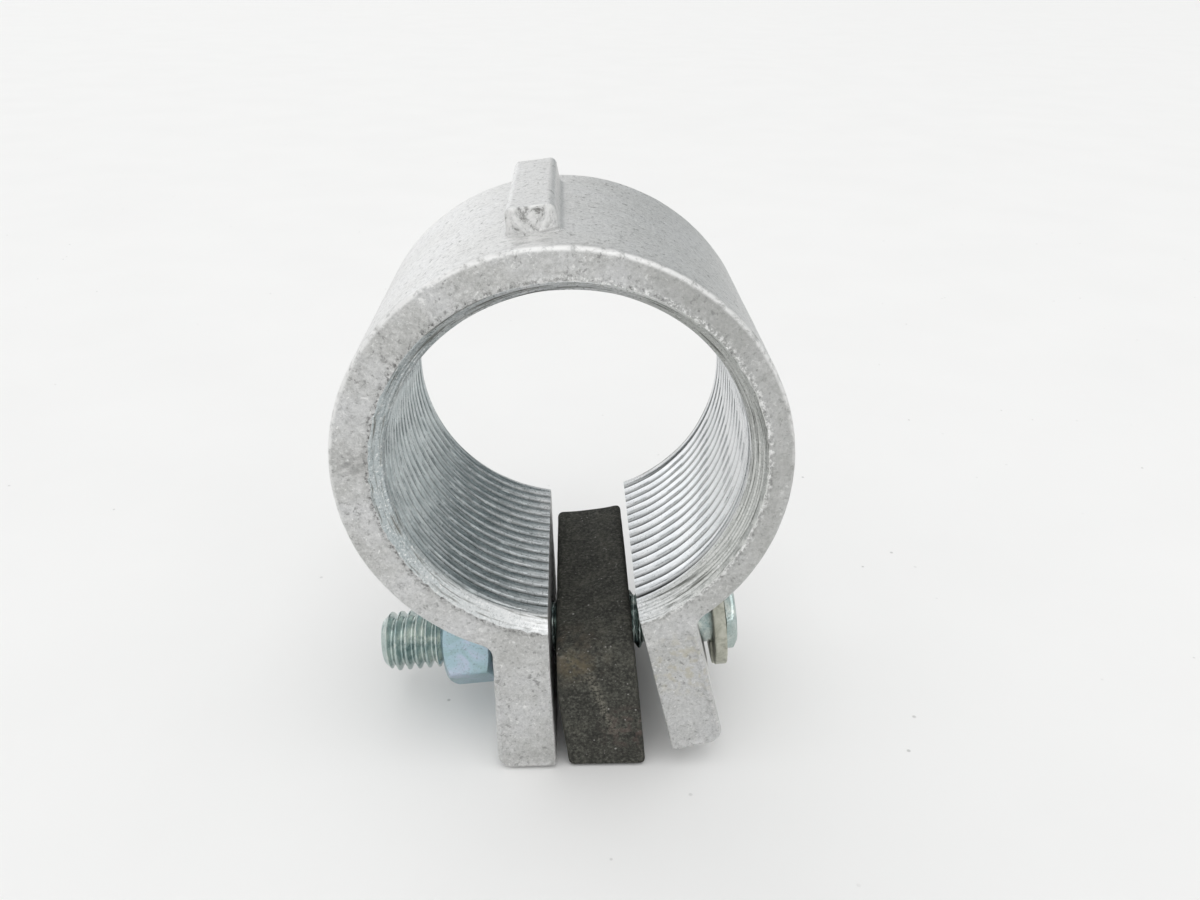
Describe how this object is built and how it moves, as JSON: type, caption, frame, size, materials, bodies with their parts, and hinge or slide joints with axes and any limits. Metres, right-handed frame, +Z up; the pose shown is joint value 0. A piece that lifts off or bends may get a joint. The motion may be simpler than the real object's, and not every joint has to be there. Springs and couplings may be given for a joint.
{
  "type": "split pipe coupling",
  "caption": "One-piece split coupling: a threaded cast ring with two ears drawn together by a clamp bolt, with a rubber pad in the slit.",
  "frame": {"origin": "on the bore axis, at the middle of the ring's length", "axes": "+Y along the bore from the front end to the back, +Z up from the slit towards the lug, +X along the bolt towards its head"},
  "size_m": [0.0634, 0.0392, 0.0843],
  "materials": {
    "galvanised_casting": "hot-dip galvanised rough casting, machined threads in the bore",
    "bolt_zinc": "blue-clear zinc plate",
    "nut_zinc": "blue-clear zinc plate",
    "washer_steel": "worn mechanical zinc over spring steel",
    "pad_rubber": "dusty matt black rubber"
  },
  "bodies": {
    "coupling": {"coupling_body": "galvanised_casting"},
    "nut": {"hex_nut": "nut_zinc"},
    "washer": {"lock_washer": "washer_steel"},
    "bolt": {"clamp_bolt": "bolt_zinc"},
    "pad": {"gap_pad": "pad_rubber"}
  },
  "joints": [
    {"name": "fastener_float", "type": "slide", "parent": "coupling", "child": "nut", "axis": [0.9995, 0, -0.0314], "range_m": [-0.00015, 0]},
    {"name": "bolt_travel", "type": "slide", "parent": "nut", "child": "washer", "axis": [0.9995, 0, -0.0314], "range_m": [-0.00009, 0.0096]},
    {"name": "bolt_turn", "type": "hinge", "parent": "washer", "child": "bolt", "pos_m": [0, -0.0024, -0.03645], "axis": [0.9995, 0, -0.0314], "range_deg": [-20, 2160]},
    {"name": "pad_swing", "type": "hinge", "parent": "coupling", "child": "pad", "pos_m": [0, -0.0024, -0.03645], "axis": [0.9995, 0, -0.0314], "range_deg": [-15, 11]}
  ],
  "couplings": [
    {"joint": "bolt_travel", "follows": "bolt_turn", "m_per_rad": 0.00025266}
  ]
}
